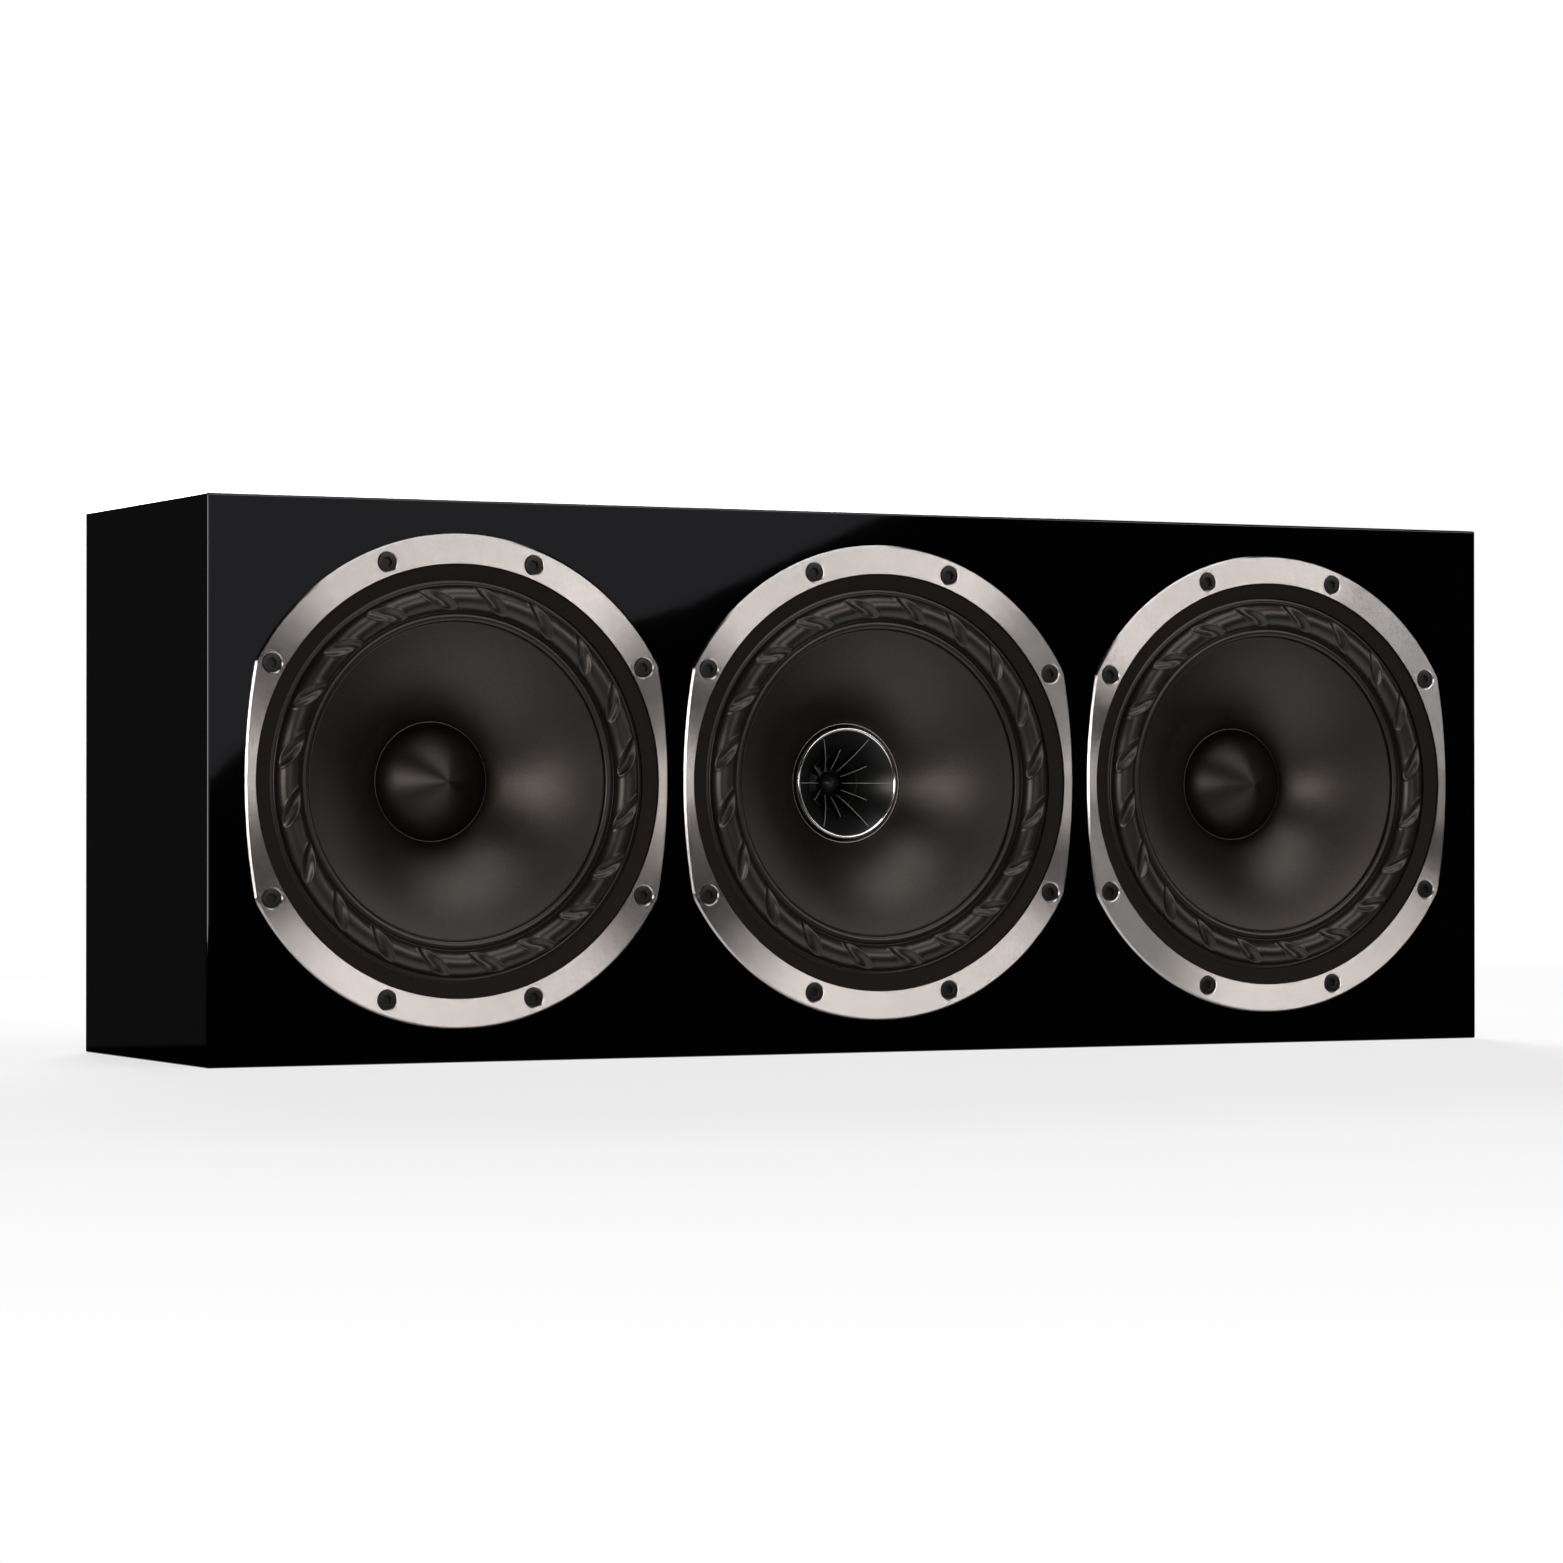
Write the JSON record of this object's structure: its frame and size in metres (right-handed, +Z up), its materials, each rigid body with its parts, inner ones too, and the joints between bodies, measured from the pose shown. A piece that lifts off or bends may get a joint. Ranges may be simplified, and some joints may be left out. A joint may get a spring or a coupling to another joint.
{
  "type": "lcr speaker",
  "caption": "Gloss black left-centre-right loudspeaker box with a row of fluted-surround drive units in turned metal frames, a coaxial horn tweeter in the middle and rear binding posts.",
  "frame": {"origin": "centre of the cabinet's flat underside", "axes": "+X to the right seen from the front, along the row of drive units, +Y from the front to the back, +Z up"},
  "size_m": [0.66, 0.1949, 0.25],
  "materials": {
    "lacquer": "deep gloss black lacquer on fibreboard",
    "board": "bare fibreboard",
    "felt": "soft damping felt",
    "turned_metal": "turned satin metal with fine concentric lines",
    "cast_metal": "black powder coat on a casting",
    "gasket_rubber": "matt dark rubber",
    "surround_rubber": "satin black rubber",
    "cone_paper": "dark warm grey pressed fibre, matt",
    "cap_paper": "dark satin pressed fibre",
    "copper": "enamelled copper wire",
    "spider_cloth": "corrugated woven cloth",
    "steel": "zinc plated steel",
    "ferrite": "grey-black sintered ferrite",
    "black_steel": "black oxide steel",
    "black_horn": "gloss black horn with a bright turned lip",
    "dome_metal": "thin metal dome",
    "black_plate": "satin black plate",
    "plated_brass": "gold-plated brass",
    "black_knob_plastic": "black moulded plastic",
    "red_knob_plastic": "red moulded plastic",
    "circuit_board": "green board",
    "capacitor_film": "wrapped film"
  },
  "bodies": {
    "cabinet": {"front_baffle": "lacquer", "rear_panel": "lacquer", "top_panel": "lacquer", "bottom_panel": "lacquer", "left_side_panel": "lacquer", "right_side_panel": "lacquer", "cabinet_braces": "board", "damping_felts": "felt", "driver_screws": "black_steel", "tweeter_waveguide": "black_horn", "tweeter_phase_plug": "black_horn", "tweeter_pot": "steel", "tweeter_magnet": "steel", "terminal_plate": "black_plate", "terminal_screws": "black_steel", "post_nuts": "plated_brass", "crossover_board": "circuit_board", "board_spacers": "circuit_board", "crossover_inductors": "copper", "crossover_capacitors": "capacitor_film", "left_trim_frame": "turned_metal", "left_chassis": "cast_metal", "left_gasket_ring": "gasket_rubber", "left_surround": "surround_rubber", "left_spider": "spider_cloth", "left_top_plate": "steel", "left_magnet": "ferrite", "left_yoke": "steel", "centre_trim_frame": "turned_metal", "centre_chassis": "cast_metal", "centre_gasket_ring": "gasket_rubber", "centre_surround": "surround_rubber", "centre_spider": "spider_cloth", "centre_top_plate": "steel", "centre_magnet": "ferrite", "centre_yoke": "steel", "right_trim_frame": "turned_metal", "right_chassis": "cast_metal", "right_gasket_ring": "gasket_rubber", "right_surround": "surround_rubber", "right_spider": "spider_cloth", "right_top_plate": "steel", "right_magnet": "ferrite", "right_yoke": "steel", "black_post": "plated_brass", "red_post": "plated_brass"},
    "left_cone_unit": {"left_cone": "cone_paper", "left_voice_coil": "copper", "left_dust_cap": "cap_paper"},
    "centre_cone_unit": {"centre_cone": "cone_paper", "centre_voice_coil": "copper"},
    "right_cone_unit": {"right_cone": "cone_paper", "right_voice_coil": "copper", "right_dust_cap": "cap_paper"},
    "tweeter_dome": {"tweeter_diaphragm": "dome_metal"},
    "black_clamp": {"black_washer": "plated_brass"},
    "black_clamp_knob": {"black_knob": "black_knob_plastic"},
    "red_clamp": {"red_washer": "plated_brass"},
    "red_clamp_knob": {"red_knob": "red_knob_plastic"}
  },
  "joints": [
    {"name": "left_cone_travel", "type": "slide", "parent": "cabinet", "child": "left_cone_unit", "axis": [0, -1, 0], "range_m": [-0.005, 0.005], "stiffness_N_per_m": 1200, "deforming": ["left_surround", "left_spider"]},
    {"name": "centre_cone_travel", "type": "slide", "parent": "cabinet", "child": "centre_cone_unit", "axis": [0, -1, 0], "range_m": [-0.005, 0.005], "stiffness_N_per_m": 1200, "deforming": ["centre_surround", "centre_spider"]},
    {"name": "right_cone_travel", "type": "slide", "parent": "cabinet", "child": "right_cone_unit", "axis": [0, -1, 0], "range_m": [-0.005, 0.005], "stiffness_N_per_m": 1200, "deforming": ["right_surround", "right_spider"]},
    {"name": "tweeter_dome_travel", "type": "slide", "parent": "cabinet", "child": "tweeter_dome", "axis": [0, -1, 0], "range_m": [-0.0003, 0.0003], "stiffness_N_per_m": 400},
    {"name": "black_clamp_travel", "type": "slide", "parent": "cabinet", "child": "black_clamp", "axis": [0, 1, 0], "range_m": [0, 0.004]},
    {"name": "black_knob_turn", "type": "hinge", "parent": "black_clamp", "child": "black_clamp_knob", "pos_m": [0.017, 0.089, 0.062], "axis": [0, 1, 0], "range_deg": [0, 1454.4]},
    {"name": "red_clamp_travel", "type": "slide", "parent": "cabinet", "child": "red_clamp", "axis": [0, 1, 0], "range_m": [0, 0.004]},
    {"name": "red_knob_turn", "type": "hinge", "parent": "red_clamp", "child": "red_clamp_knob", "pos_m": [-0.017, 0.089, 0.062], "axis": [0, 1, 0], "range_deg": [0, 1454.4]}
  ],
  "couplings": [
    {"joint": "black_knob_turn", "follows": "black_clamp_travel", "rad_per_m": 6283.2},
    {"joint": "red_knob_turn", "follows": "red_clamp_travel", "rad_per_m": 6283.2}
  ]
}
